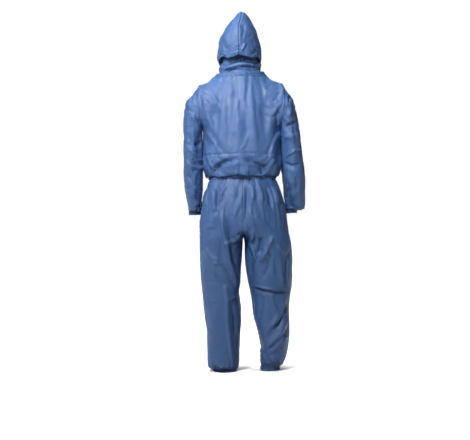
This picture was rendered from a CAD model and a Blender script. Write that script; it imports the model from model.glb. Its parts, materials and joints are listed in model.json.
import json
import math

import bmesh
import bpy
import numpy as np
from mathutils import Matrix, Vector
from mathutils.bvhtree import BVHTree

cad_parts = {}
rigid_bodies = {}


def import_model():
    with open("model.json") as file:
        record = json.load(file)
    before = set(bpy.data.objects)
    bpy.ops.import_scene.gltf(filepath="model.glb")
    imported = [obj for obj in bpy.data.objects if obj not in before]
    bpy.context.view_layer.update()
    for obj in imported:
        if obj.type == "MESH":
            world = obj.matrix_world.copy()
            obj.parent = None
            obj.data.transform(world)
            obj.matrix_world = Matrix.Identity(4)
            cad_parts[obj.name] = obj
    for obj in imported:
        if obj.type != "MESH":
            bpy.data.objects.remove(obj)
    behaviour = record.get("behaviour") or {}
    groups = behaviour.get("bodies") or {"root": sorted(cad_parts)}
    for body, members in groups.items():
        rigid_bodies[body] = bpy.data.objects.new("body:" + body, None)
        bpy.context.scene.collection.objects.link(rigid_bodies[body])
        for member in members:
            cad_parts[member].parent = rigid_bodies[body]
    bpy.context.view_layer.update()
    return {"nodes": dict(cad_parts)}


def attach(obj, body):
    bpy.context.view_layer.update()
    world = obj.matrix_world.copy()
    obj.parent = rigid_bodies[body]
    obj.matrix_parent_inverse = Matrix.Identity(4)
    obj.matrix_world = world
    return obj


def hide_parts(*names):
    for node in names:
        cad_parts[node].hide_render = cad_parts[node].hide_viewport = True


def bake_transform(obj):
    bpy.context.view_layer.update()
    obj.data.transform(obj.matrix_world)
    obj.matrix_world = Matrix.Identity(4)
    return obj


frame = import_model()
MM = 0.001
TAU = 2 * math.pi

# ---- dimensions shared with the CAD, in metres -------------------------------------------------------
NECK_Z = 1.440
HEM_Z, HEM_H = 0.936, 0.022
LOWER_SEAM_Z = 1.054
SIDE_Y = 0.005
WAIST_Z, WAIST_H, WAIST_Y = 0.957, 0.030, -0.008
ARM_TILT = math.radians(6.3)
ARM_C, ARM_R = (0.205, 0.0, 1.285), 0.098
CUFF_C, CUFF_R, CUFF_H = (0.236, -0.072, 0.765), 0.034, 0.025
ANKLE_C, ANKLE_H = (0.118, 0.014, 0.0), 0.024
FACE_Y = -0.086
RIM_Z, RIM_TILT = 1.510, math.radians(18.7)
OPENING = 0.007


def front_y(z):
    """The straight line that the zip follows."""
    return -0.134 + 0.075 * (z - 0.936)


# ---- mesh helpers -----------------------------------------------------------------------------------
def curve_through(table, at):
    """Smooth values between the rows of a table, which are sorted by their first column."""
    table = np.array(table, float)
    table = table[np.argsort(table[:, 0])]
    x, y = table[:, 0], table[:, 1:]
    slope = np.gradient(y, x, axis=0)
    at = np.clip(at, x[0], x[-1])
    i = np.clip(np.searchsorted(x, at) - 1, 0, len(x) - 2)
    h = x[i + 1] - x[i]
    t = (at - x[i]) / h
    t, h = t[:, None], h[:, None]
    a = (2 * t ** 3 - 3 * t ** 2 + 1) * y[i] + (t ** 3 - 2 * t ** 2 + t) * h * slope[i]
    return a + (-2 * t ** 3 + 3 * t ** 2) * y[i + 1] + (t ** 3 - t ** 2) * h * slope[i + 1]


def new_object(name, verts, faces, smooth=True):
    mesh = bpy.data.meshes.new(name)
    mesh.from_pydata([tuple(v) for v in verts], [], faces)
    mesh.update()
    obj = bpy.data.objects.new(name, mesh)
    bpy.context.scene.collection.objects.link(obj)
    if smooth:
        mesh.polygons.foreach_set("use_smooth", [True] * len(mesh.polygons))
    return obj


def grid_faces(rows, cols, wrap=True):
    faces = []
    for r in range(rows - 1):
        for c in range(cols if wrap else cols - 1):
            d = (c + 1) % cols
            faces.append((r * cols + c, r * cols + d, (r + 1) * cols + d, (r + 1) * cols + c))
    return faces


def tube(name, rings, caps=False):
    """A tube from rings, an array of (ring, point, xyz)."""
    rings = np.asarray(rings)
    rows, cols = rings.shape[:2]
    verts = rings.reshape(-1, 3)
    faces = grid_faces(rows, cols)
    if caps:
        faces.append(tuple(range(cols))[::-1])
        faces.append(tuple((rows - 1) * cols + c for c in range(cols)))
    return facing_out(new_object(name, verts, faces))


def facing_out(obj):
    bm = bmesh.new()
    bm.from_mesh(obj.data)
    bmesh.ops.recalc_face_normals(bm, faces=bm.faces)
    bm.to_mesh(obj.data)
    bm.free()
    obj.data.update()
    return obj


def around(n):
    return np.arange(n) / n * TAU


def oval(a, cx, cy, hx_right, hx_left, hy_front, hy_back, power=2.0):
    """Points of an oval whose four quarter radii differ: -X, +X, -Y and +Y."""
    c, s = np.cos(a), np.sin(a)
    k = (np.abs(c) ** power + np.abs(s) ** power) ** (-1 / power)
    x = cx + c * k * np.where(c > 0, hx_left, hx_right)
    y = cy + s * k * np.where(s > 0, hy_back, hy_front)
    return x, y


def coords(obj):
    out = np.empty(len(obj.data.vertices) * 3)
    obj.data.vertices.foreach_get("co", out)
    return out.reshape(-1, 3)


def set_coords(obj, co):
    obj.data.vertices.foreach_set("co", np.ascontiguousarray(co, dtype=float).ravel())
    obj.data.update()


def normals(obj):
    out = np.empty(len(obj.data.vertices) * 3)
    obj.data.vertices.foreach_get("normal", out)
    return out.reshape(-1, 3)


def evaluated(obj, name=None):
    """obj's mesh with its modifiers applied, as a plain object in its place."""
    graph = bpy.context.evaluated_depsgraph_get()
    mesh = bpy.data.meshes.new_from_object(obj.evaluated_get(graph))
    obj.modifiers.clear()
    old = obj.data
    obj.data = mesh
    mesh.name = name or obj.name
    bpy.data.meshes.remove(old)
    return obj


def merged(name, objs, voxel, smooth=6):
    """One even skin round several closed tubes."""
    for o in bpy.context.view_layer.objects:
        o.select_set(False)
    for o in objs:
        o.select_set(True)
    bpy.context.view_layer.objects.active = objs[0]
    bpy.ops.object.join()
    obj = objs[0]
    obj.name = name
    m = obj.modifiers.new("skin", "REMESH")
    m.mode = "VOXEL"
    m.voxel_size = voxel
    m.use_smooth_shade = True
    s = obj.modifiers.new("ease", "SMOOTH")
    s.iterations = smooth
    s.factor = 0.5
    return evaluated(obj, name)


def cut(obj, point, normal):
    """Takes away what lies on the normal's side of a plane."""
    bm = bmesh.new()
    bm.from_mesh(obj.data)
    bmesh.ops.bisect_plane(bm, geom=bm.verts[:] + bm.edges[:] + bm.faces[:], dist=1e-5,
                           plane_co=point, plane_no=normal, clear_outer=True)
    bm.to_mesh(obj.data)
    bm.free()
    obj.data.update()


def score(obj, point, normal, where=None):
    """Adds an edge line where a plane crosses, without taking anything away."""
    bm = bmesh.new()
    bm.from_mesh(obj.data)
    faces = [f for f in bm.faces if where is None or where(f.calc_center_median())]
    edges = {e for f in faces for e in f.edges}
    verts = {v for f in faces for v in f.verts}
    bmesh.ops.bisect_plane(bm, geom=list(verts) + list(edges) + faces, dist=1e-4, plane_co=point,
                           plane_no=normal)
    bm.to_mesh(obj.data)
    bm.free()
    obj.data.update()


def tidy(obj, dist=0.0012):
    bm = bmesh.new()
    bm.from_mesh(obj.data)
    bmesh.ops.remove_doubles(bm, verts=bm.verts, dist=dist)
    bm.to_mesh(obj.data)
    bm.free()
    obj.data.update()


def group(obj, name, weights):
    g = obj.vertex_groups.get(name) or obj.vertex_groups.new(name=name)
    weights = np.clip(weights, 0, 1)
    for w in np.unique(np.round(weights, 2)):
        idx = np.nonzero(np.round(weights, 2) == w)[0]
        g.add(idx.tolist(), float(w), "REPLACE")
    return g


def smoothstep(t):
    t = np.clip(t, 0, 1)
    return t * t * (3 - 2 * t)


def simulate(obj, pinned, colliders, grow, bend=1.5, frames=26, tension=18, shear=6, gravity=0.6):
    """Lets obj hang as cloth over the colliders, larger by grow than its mesh, then keeps the last shape."""
    group(obj, "pin", pinned)
    m = obj.modifiers.new("cloth", "CLOTH")
    s = m.settings
    s.quality = 6
    s.mass = 0.25
    s.air_damping = 2.0
    s.tension_stiffness = s.compression_stiffness = tension
    s.shear_stiffness = shear
    s.bending_stiffness = bend
    s.tension_damping = s.compression_damping = 8
    s.shear_damping = 8
    s.bending_damping = 0.8
    s.vertex_group_mass = "pin"
    s.pin_stiffness = 1.0
    s.shrink_min = s.shrink_max = -grow
    s.effector_weights.gravity = gravity
    m.collision_settings.use_self_collision = False
    m.collision_settings.distance_min = 0.003
    m.collision_settings.collision_quality = 2
    for c in colliders:
        c.modifiers.new("solid", "COLLISION")
        c.collision.thickness_outer = 0.003
        c.collision.cloth_friction = 12
        c.collision.damping = 0.4
    scene = bpy.context.scene
    m.point_cache.frame_start = 1
    m.point_cache.frame_end = frames
    for f in range(1, frames + 1):
        scene.frame_set(f)
    evaluated(obj)
    for c in colliders:
        c.modifiers.clear()
    scene.frame_set(1)
    return obj


# ---- trunk and legs, as the wearer fills them --------------------------------------------------------
TRUNK = [  # height, wearer's left, wearer's right, back
    (0.930, 0.156, 0.156, 0.100),
    (0.945, 0.168, 0.168, 0.107),
    (0.962, 0.181, 0.181, 0.117),
    (0.990, 0.190, 0.190, 0.129),
    (1.030, 0.191, 0.191, 0.137),
    (1.060, 0.188, 0.188, 0.136),
    (1.120, 0.184, 0.184, 0.130),
    (1.190, 0.183, 0.183, 0.129),
    (1.280, 0.184, 0.184, 0.124),
    (1.340, 0.178, 0.178, 0.115),
    (1.385, 0.164, 0.164, 0.103),
    (1.415, 0.145, 0.145, 0.094),
    (1.450, 0.112, 0.112, 0.086),
]
HIPS = [  # height, wearer's left, wearer's right, front, back
    (0.640, 0.200, 0.200, -0.110, 0.118),
    (0.672, 0.214, 0.214, -0.128, 0.138),
    (0.710, 0.217, 0.221, -0.138, 0.145),
    (0.760, 0.213, 0.217, -0.143, 0.146),
    (0.825, 0.203, 0.206, -0.139, 0.138),
    (0.880, 0.187, 0.188, -0.130, 0.125),
    (0.925, 0.167, 0.166, -0.118, 0.106),
    (0.962, 0.153, 0.153, -0.112, 0.096),
    (0.990, 0.153, 0.153, -0.112, 0.096),
]
LEG_LEFT = [  # height, outer, inner, front, back
    (-0.010, 0.164, 0.072, -0.032, 0.060),
    (0.024, 0.166, 0.068, -0.034, 0.064),
    (0.045, 0.182, 0.048, -0.056, 0.082),
    (0.075, 0.184, 0.036, -0.070, 0.092),
    (0.122, 0.186, 0.031, -0.076, 0.096),
    (0.181, 0.185, 0.028, -0.079, 0.096),
    (0.239, 0.187, 0.024, -0.083, 0.096),
    (0.298, 0.194, 0.022, -0.088, 0.096),
    (0.356, 0.200, 0.024, -0.091, 0.097),
    (0.415, 0.206, 0.030, -0.093, 0.099),
    (0.473, 0.211, 0.027, -0.095, 0.103),
    (0.532, 0.214, 0.022, -0.099, 0.110),
    (0.590, 0.217, 0.018, -0.106, 0.119),
    (0.650, 0.216, 0.017, -0.114, 0.128),
    (0.700, 0.205, 0.008, -0.106, 0.120),
    (0.760, 0.180, 0.028, -0.085, 0.095),
]
LEG_RIGHT = [  # as LEG_LEFT
    (-0.010, 0.164, 0.072, -0.032, 0.060),
    (0.024, 0.168, 0.070, -0.034, 0.064),
    (0.045, 0.184, 0.068, -0.056, 0.082),
    (0.075, 0.194, 0.069, -0.070, 0.092),
    (0.122, 0.205, 0.074, -0.076, 0.096),
    (0.181, 0.216, 0.074, -0.080, 0.096),
    (0.239, 0.220, 0.063, -0.084, 0.096),
    (0.298, 0.219, 0.049, -0.088, 0.096),
    (0.356, 0.220, 0.046, -0.091, 0.097),
    (0.415, 0.229, 0.037, -0.093, 0.099),
    (0.473, 0.236, 0.026, -0.095, 0.103),
    (0.532, 0.238, 0.018, -0.099, 0.110),
    (0.590, 0.238, 0.016, -0.106, 0.119),
    (0.650, 0.230, 0.016, -0.114, 0.128),
    (0.700, 0.210, 0.008, -0.106, 0.120),
    (0.760, 0.185, 0.028, -0.085, 0.095),
]


def level_rings(table, z, n, inset=0.0, power=2.15):
    """Rings of a table of height, left, right, front, back."""
    v = curve_through(table, z)
    a = around(n)
    rings = []
    for zi, (left, right, front, back) in zip(z, v):
        mid = (front + back) / 2
        half = (back - front) / 2
        x, y = oval(a, 0, mid, right - inset, left - inset, half - inset, half - inset, power)
        rings.append(np.stack([x, y, np.full(n, zi)], 1))
    return np.array(rings)


def trunk_table():
    return [(z, l, r, front_y(z), b) for z, l, r, b in TRUNK]


def leg_rings(table, side, z, n, inset=0.0):
    v = curve_through(table, z)
    a = around(n)
    rings = []
    for zi, (outer, inner, front, back) in zip(z, v):
        mx, hx = side * (outer + inner) / 2, (outer - inner) / 2
        my, hy = (front + back) / 2, (back - front) / 2
        x, y = oval(a, mx, my, hx - inset, hx - inset, hy - inset, hy - inset, 2.1)
        rings.append(np.stack([x, y, np.full(n, zi)], 1))
    return np.array(rings)


def shoulder_rings(side, n, inset=0.0, reach=0.02, start=0.05):
    """The stub from inside the trunk out to the round armhole."""
    up = np.array([side * math.sin(ARM_TILT), 0, math.cos(ARM_TILT)])
    end = np.array([side * ARM_C[0], ARM_C[1], ARM_C[2]])
    root = np.array([side * start, 0.004, 1.312])
    a = around(n)
    rings = []
    for t in np.linspace(0, 1 + reach / 0.15, 24):
        c = root + (end - root) * t
        k = min(t, 1.0)
        ru = 0.130 + (ARM_R - 0.130) * k - inset
        rv = 0.104 + (ARM_R - 0.104) * k - inset
        ring = c + np.outer(np.cos(a) * ru, up) + np.outer(np.sin(a) * rv, [0, 1, 0])
        rings.append(ring)
    return np.array(rings)


# ---- folds that the worn suit shows -----------------------------------------------------------------
TRUNK_FOLDS = [  # points (x, z), width, height, lean; in millimetres
    ([(121, 1404), (77, 1407), (32, 1402)], 7, -2.0, 0),
    ([(-25, 1397), (-86, 1388), (-150, 1370)], 8, 2.5, 0.3),
    ([(85, 1331), (95, 1217), (111, 1070)], 22, 7, -0.5),
    ([(124, 1298), (128, 1168), (128, 1070)], 16, -6, 0),
    ([(19, 1436), (24, 1379), (23, 1306)], 12, -5, 0),
    ([(-12, 1436), (-14, 1363), (-7, 1298)], 12, 4, 0.2),
    ([(-42, 1444), (-57, 1266), (-70, 1062)], 20, 5, 0.4),
    ([(-105, 1331), (-115, 1217), (-117, 1095)], 20, -5, 0),
    ([(139, 1343), (111, 1298), (94, 1257)], 12, 5, 0.4),
    ([(184, 1331), (173, 1266), (133, 1217)], 12, -5, 0),
    ([(-76, 1306), (-133, 1290), (-190, 1253)], 8, 4, 0.4),
    ([(-83, 1249), (-148, 1225), (-197, 1266)], 8, -3.5, 0.2),
    ([(-195, 1176), (-149, 1111), (-131, 1022)], 13, 9, -0.4),
    ([(179, 1176), (155, 1144), (135, 1103)], 9, 4, 0.3),
    ([(-1, 1225), (24, 1192), (41, 1144)], 7, 2.5, 0.3),
    ([(-32, 1144), (-15, 1095), (10, 1070)], 7, 2.5, 0.3),
    ([(163, 961), (129, 993), (80, 1022), (31, 1030)], 12, -18, 0.4),
    ([(-7, 1026), (-46, 1013), (-94, 985), (-126, 952)], 12, -18, -0.4),
    ([(14, 1034), (12, 993), (14, 956)], 6, -4, 0),
    ([(145, 1038), (158, 1005), (179, 973)], 10, 5, 0.3),
    ([(-144, 1038), (-155, 1005), (-183, 965)], 10, 5, 0.3),
    ([(109, 985), (45, 969), (16, 965)], 9, 5, 0.3),
    ([(8, 965), (-45, 969), (-102, 961)], 9, 5, -0.3),
]
SLEEVE_FOLDS = [  # points (x, z), width, height, lean; in millimetres
    ([(238, 1257), (215, 1217), (187, 1168)], 12, 8, 0.4),
    ([(233, 1099), (204, 1115), (178, 1139)], 9, -8, 0.3),
    ([(274, 1103), (242, 1078), (214, 1034), (178, 1030)], 10, 7, 0.4),
    ([(279, 1038), (247, 1001), (207, 993), (165, 1022)], 9, 6, 0.3),
    ([(260, 1168), (249, 1119), (262, 1070)], 12, -5, 0),
    ([(272, 973), (253, 924), (266, 867)], 12, -4, 0),
    ([(223, 985), (237, 924), (225, 867)], 10, 4, 0.2),
    ([(-212, 1184), (-236, 1192), (-265, 1225)], 11, -8, 0.3),
    ([(-199, 1144), (-231, 1135), (-280, 1144)], 13, 7, 0.3),
    ([(-287, 1080), (-250, 1062), (-209, 1034)], 7, 5, 0.5),
    ([(-200, 1013), (-241, 993), (-286, 1005)], 11, -6, 0.3),
    ([(-216, 965), (-231, 916), (-214, 867)], 12, 5, 0.2),
    ([(-256, 956), (-267, 908), (-254, 851)], 12, -5, 0.2),
    ([(-227, 1331), (-238, 1266), (-229, 1217)], 14, 6, 0.3),
    ([(272, 956), (241, 891), (230, 843)], 10, 5, 0.3),
    ([(-207, 948), (-222, 883), (-213, 826)], 10, -5, 0.3),
    ([(-248, 932), (-255, 875), (-245, 818)], 10, 4, 0.3),
    ([(266, 859), (242, 826), (214, 818)], 8, 5, 0.3),
]
TROUSER_FOLDS = [  # points (x, z), width, height, lean; in millimetres
    ([(122, 908), (120, 843), (125, 786)], 9, -8, 0),
    ([(143, 900), (140, 834), (133, 769)], 14, 6, -0.2),
    ([(80, 904), (102, 859), (114, 818)], 8, 5, 0.4),
    ([(46, 904), (45, 875), (50, 843)], 7, 3.5, 0),
    ([(21, 904), (20, 867), (29, 826)], 6, -3, 0),
    ([(-21, 904), (-20, 834), (-11, 737)], 9, -5, 0),
    ([(-44, 904), (-49, 859), (-47, 826)], 7, 4, 0),
    ([(-75, 904), (-92, 859), (-95, 818)], 9, 5, 0.3),
    ([(-113, 904), (-132, 851), (-139, 786)], 9, -6, 0.3),
    ([(-149, 904), (-165, 859), (-172, 810)], 9, 4, 0.3),
    ([(168, 891), (179, 851), (182, 802)], 9, 4, 0.3),
    ([(113, 794), (100, 704), (88, 631), (77, 542), (54, 460), (30, 387)], 17, 9, -0.6),
    ([(85, 778), (70, 704), (63, 631), (49, 542), (36, 477)], 15, -8, 0),
    ([(98, 623), (51, 636), (11, 672)], 10, 6, 0.5),
    ([(155, 535), (118, 529), (91, 485)], 10, 5, 0.4),
    ([(130, 778), (155, 712), (196, 688)], 16, 4, 0),
    ([(139, 493), (120, 452), (80, 412)], 10, -5, 0.2),
    ([(205, 448), (169, 444), (135, 439)], 4, -2.5, 0),
    ([(213, 688), (172, 695), (135, 692)], 4, -2, 0),
    ([(195, 353), (162, 350), (130, 345)], 4.5, 3, 0.3),
    ([(93, 351), (69, 359), (38, 366)], 6, 4, 0.4),
    ([(99, 452), (90, 363), (89, 249), (79, 135), (69, 29)], 9, 6, -0.5),
    ([(57, 330), (46, 249), (49, 135)], 13, -6, 0),
    ([(155, 330), (153, 216), (146, 119)], 22, 4, 0),
    ([(-31, 761), (-73, 729), (-113, 696), (-146, 657)], 12, 5, -0.3),
    ([(-52, 696), (-40, 623), (-62, 532)], 10, 8, 0.5),
    ([(-138, 656), (-107, 590), (-71, 527)], 9, 8, -0.5),
    ([(-88, 656), (-79, 607), (-68, 566)], 13, -9, 0),
    ([(-160, 615), (-184, 592), (-202, 573)], 6, 4, 0.3),
    ([(-223, 611), (-212, 590), (-202, 573)], 6, 4, 0.3),
    ([(-177, 558), (-177, 493), (-182, 420)], 8, 5, 0.3),
    ([(-208, 558), (-205, 493), (-203, 420)], 8, -5, 0.3),
    ([(-135, 574), (-117, 501), (-84, 452)], 10, -4, 0.3),
    ([(-103, 590), (-134, 542), (-141, 460)], 9, 4, 0.3),
    ([(-37, 420), (-99, 407), (-148, 399), (-206, 402)], 5, 5, 0.6),
    ([(-42, 407), (-99, 392), (-156, 386), (-204, 389)], 7, -5, 0.2),
    ([(-131, 383), (-138, 330), (-162, 281)], 9, 4, 0.3),
    ([(-82, 379), (-81, 314), (-63, 249)], 12, -4, 0.2),
    ([(-196, 375), (-180, 281), (-128, 208), (-75, 163)], 13, 7, 0.4),
    ([(-212, 265), (-168, 184), (-97, 107)], 12, 7, 0.4),
    ([(-203, 330), (-161, 233), (-95, 180)], 10, -6, 0.2),
    ([(-204, 168), (-150, 119), (-109, 78)], 9, 5, 0.4),
    ([(-69, 119), (-101, 70), (-124, 37)], 8, -5, 0.2),
    ([(168, 70), (124, 37), (63, 25)], 9, 5, 0.3),
    ([(156, 37), (112, 17), (71, 9)], 6, -4, 0.2),
    ([(-42, 607), (-28, 525), (-35, 460)], 12, -5, 0),
    ([(198, 615), (158, 558), (110, 538)], 14, 4, 0.3),
]
HOOD_FOLDS = [  # points (x, z), width, height, lean; in millimetres
    ([(-26, 1583), (-17, 1562), (-6, 1544)], 6, 4, 0.4),
    ([(-89, 1566), (-74, 1542), (-56, 1524)], 9, -5, 0.3),
    ([(98, 1550), (89, 1534), (70, 1524)], 8, -4, 0.3),
    ([(-22, 1680), (-19, 1632), (-7, 1591)], 8, -2.5, 0.2),
    ([(56, 1656), (65, 1607), (57, 1558)], 14, 2.5, 0.2),
]
COLLAR_FOLDS = [  # points (x, z), width, height, lean; in millimetres
    ([(96, 1461), (59, 1477), (8, 1492), (-47, 1487), (-87, 1469)], 5, 4, 0.4),
    ([(91, 1444), (35, 1464), (-22, 1464), (-79, 1453)], 5, -3.5, 0.2),
    ([(59, 1500), (26, 1505), (-7, 1501)], 4, 3, 0.2),
]


def press(obj, folds, face=1, scale=1.0, reach=0.35, only=None):
    """Raises or sinks obj along its folds, on the side that faces +Y (face 1) or -Y (face -1)."""
    co = coords(obj)
    nr = normals(obj)
    facing = smoothstep((nr[:, 1] * face + 0.05) / reach)
    move = np.zeros(len(co))
    flat = co[:, [0, 2]] / MM
    for pts, width, height, lean in folds:
        pts = np.array(pts, float)
        best = np.full(len(co), 1e9)
        side = np.zeros(len(co))
        place = np.zeros(len(co))
        seg = np.diff(pts, axis=0)
        length = np.linalg.norm(seg, axis=1)
        run = np.concatenate([[0], np.cumsum(length)])
        for p, d, l, r0 in zip(pts[:-1], seg, length, run[:-1]):
            rel = flat - p
            t = np.clip(rel @ d / l ** 2, 0, 1)
            off = rel - t[:, None] * d
            dist = np.hypot(off[:, 0], off[:, 1])
            near = dist < best
            best = np.where(near, dist, best)
            side = np.where(near, np.sign(d[0] * rel[:, 1] - d[1] * rel[:, 0]), side)
            place = np.where(near, (r0 + t * l) / run[-1], place)
        w = width * (1 + lean * side)
        ends = smoothstep(place / 0.22) * smoothstep((1 - place) / 0.22)
        move += height * np.exp(-(best / w) ** 2) * (0.15 + 0.85 * ends)
    move *= facing * scale
    if only is not None:
        move *= only
    set_coords(obj, co + nr * (move * MM)[:, None])


def waves(co, seed, size, stretch=(1, 1, 1)):
    """Smooth random values from -1 to 1, with features of about the given size in metres."""
    rng = np.random.default_rng(seed)
    total = np.zeros(len(co))
    for _ in range(14):
        k = rng.normal(size=3)
        k /= np.linalg.norm(k)
        k = k * rng.uniform(0.6, 1.5) / size * TAU / np.array(stretch)
        total += np.sin(co @ k + rng.uniform(0, TAU))
    return total / 4.5


def creased(v):
    """Sharpens smooth waves into ridges with soft hollows between."""
    return 1 - 2 * np.abs(v)


def ruffle(obj, seed, size, amount, stretch=(1, 1, 1), where=None, sharp=False):
    co, nr = coords(obj), normals(obj)
    v = waves(co + 0.25 * size * np.stack([waves(co, seed + 7, size), waves(co, seed + 8, size),
                                           waves(co, seed + 9, size)], 1), seed, size, stretch)
    if sharp:
        v = creased(v)
    if where is not None:
        v = v * where
    set_coords(obj, co + nr * (v * amount)[:, None])


def gathers(obj, centre, count, amount, z_lo, z_hi, seed, fade_up, fade_down):
    """Vertical gathers round an elastic, strongest between z_lo and z_hi."""
    co, nr = coords(obj), normals(obj)
    a = np.arctan2(co[:, 1] - centre[1], co[:, 0] - centre[0])
    rng = np.random.default_rng(seed)
    v = np.zeros(len(co))
    for k in range(5):
        n = int(count * (0.72 + 0.14 * k))
        phase = rng.uniform(0, TAU) + 6 * (co[:, 2] - z_lo) * rng.uniform(-1, 1)
        v += np.sin(n * a + phase) / (1.5 + 0.3 * k)
    v /= 2.0
    z = co[:, 2]
    near = np.where(z > z_hi, 1 - smoothstep((z - z_hi) / fade_up), 1.0)
    near = np.where(z < z_lo, 1 - smoothstep((z_lo - z) / fade_down), near)
    out = nr.copy()
    out[:, 2] *= 0.2
    set_coords(obj, co + out * (v * near * amount)[:, None])


def shrunken(obj, name, inset):
    """A copy of a closed skin, drawn in along its normals, that the cloth falls on."""
    copy = obj.copy()
    copy.data = obj.data.copy()
    copy.name = name
    bpy.context.scene.collection.objects.link(copy)
    set_coords(copy, coords(copy) - normals(copy) * inset)
    return copy


def finer(obj, levels=1):
    m = obj.modifiers.new("finer", "SUBSURF")
    m.levels = m.render_levels = levels
    m.boundary_smooth = "PRESERVE_CORNERS"
    return evaluated(obj)


def drop(obj):
    bpy.data.objects.remove(obj, do_unlink=True)


def part_of(obj, name, keep):
    """A new object from those faces of obj for which keep, an array, is true."""
    mesh = obj.data.copy()
    piece = bpy.data.objects.new(name, mesh)
    mesh.name = name
    bpy.context.scene.collection.objects.link(piece)
    bm = bmesh.new()
    bm.from_mesh(mesh)
    bm.faces.ensure_lookup_table()
    gone = [bm.faces[i] for i in np.nonzero(~keep)[0]]
    bmesh.ops.delete(bm, geom=gone, context="FACES")
    bm.to_mesh(mesh)
    bm.free()
    mesh.update()
    return piece


def face_centres(obj):
    out = np.empty(len(obj.data.polygons) * 3)
    obj.data.polygons.foreach_get("center", out)
    return out.reshape(-1, 3)


# ---- the trousers -----------------------------------------------------------------------------------
VOXEL = 0.011


def make_trousers():
    z_hips = np.linspace(0.676, 0.990, 60)
    parts = [tube("hips", level_rings(HIPS, z_hips, 120), caps=True)]
    z_leg = np.linspace(-0.010, 0.760, 150)
    for side, table in ((1, LEG_LEFT), (-1, LEG_RIGHT)):
        parts.append(tube("leg", leg_rings(table, side, z_leg, 90), caps=True))
    cloth = merged("trousers", parts, VOXEL, smooth=4)
    solid = shrunken(cloth, "wearer_legs", 0.010)
    cut(cloth, (0, 0, WAIST_Z + 0.004), (0, 0, 1))
    cut(cloth, (0, 0, ANKLE_H - 0.006), (0, 0, -1))
    score(cloth, (0, 0, 0), (1, 0, 0))
    tidy(cloth, 0.002)
    co = coords(cloth)
    pin = np.zeros(len(co))
    pin[co[:, 2] > WAIST_Z - 0.006] = 1
    pin[co[:, 2] < ANKLE_H + 0.004] = 1
    pin[(np.abs(co[:, 0]) < 1e-4) & (co[:, 2] > 0.62)] = 0.6
    simulate(cloth, pin, [solid], grow=0.045)
    drop(solid)
    cloth = finer(cloth)
    ruffle(cloth, 3, 0.15, 0.0016, stretch=(0.7, 0.7, 2.0))
    ruffle(cloth, 5, 0.050, 0.0005, stretch=(0.8, 0.8, 1.5), sharp=True)
    press(cloth, TROUSER_FOLDS, face=1, scale=1.9)
    press(cloth, front_folds(TROUSER_FOLDS, 11), face=-1, scale=0.8)
    co, nr = coords(cloth), normals(cloth)
    groove = np.exp(-(co[:, 0] / 0.004) ** 2) * (co[:, 2] > 0.60)
    set_coords(cloth, co - nr * (groove * 0.0025)[:, None])
    gathers(cloth, (0, WAIST_Y), 74, 0.0034, 0.925, 0.99, 2, 0.05, 0.075)
    for side in (1, -1):
        near = (coords(cloth)[:, 0] * side) > 0
        gathers_at_ankle(cloth, side, near)
    return cloth


def gathers_at_ankle(cloth, side, near):
    before = coords(cloth)
    gathers(cloth, (side * ANKLE_C[0], ANKLE_C[1]), 30, 0.0028, -0.01, 0.030, 20 + side, 0.05, 0.02)
    after = coords(cloth)
    after[~near] = before[~near]
    set_coords(cloth, after)


def front_folds(folds, seed):
    """The unseen side gets folds of the same kind, moved about."""
    rng = np.random.default_rng(seed)
    out = []
    for pts, width, height, lean in folds:
        shift = np.array([rng.uniform(-18, 18), rng.uniform(-40, 40)])
        flip = -1
        pts = [(flip * p[0] + shift[0] * 0.5, p[1] + shift[1]) for p in pts]
        if rng.uniform() < 0.72:
            out.append((pts, width, height * rng.uniform(0.6, 1.0), lean))
    return out


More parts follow.
